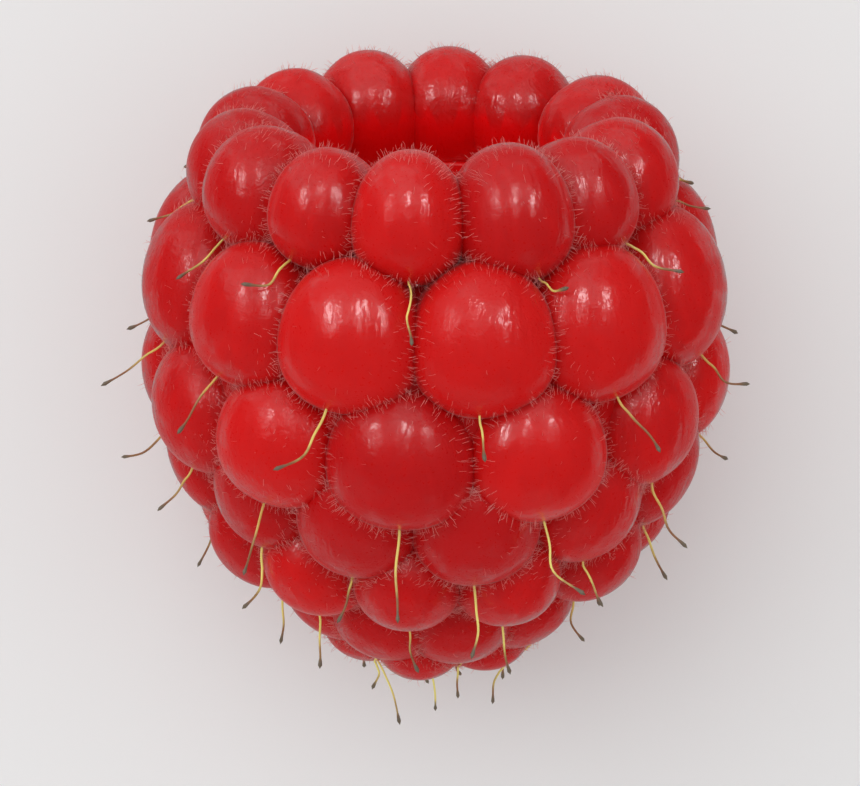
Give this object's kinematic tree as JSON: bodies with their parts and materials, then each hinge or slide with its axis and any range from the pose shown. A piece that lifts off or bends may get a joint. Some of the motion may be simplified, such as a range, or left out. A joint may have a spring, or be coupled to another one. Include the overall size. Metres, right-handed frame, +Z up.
{
  "type": "raspberry",
  "caption": "Ripe red raspberry picked off its core, lying on its side: rings of round drupelets on a hollow thimble-shaped wall, with fine dried styles.",
  "frame": {"origin": "middle of the bounding box, on the surface that the fruit lies on", "axes": "+Z up from the surface; the fruit's tip points towards -Y and its open rim towards +Y, tilted 22 degrees upwards; +X to the right"},
  "size_m": [0.0238, 0.0258, 0.0218],
  "materials": {
    "drupelet_skin": "soft gloss",
    "dried_style": "matte",
    "fine_hair": "matte"
  },
  "bodies": {
    "root": {"raspberry": "drupelet_skin"}
  },
  "joints": []
}
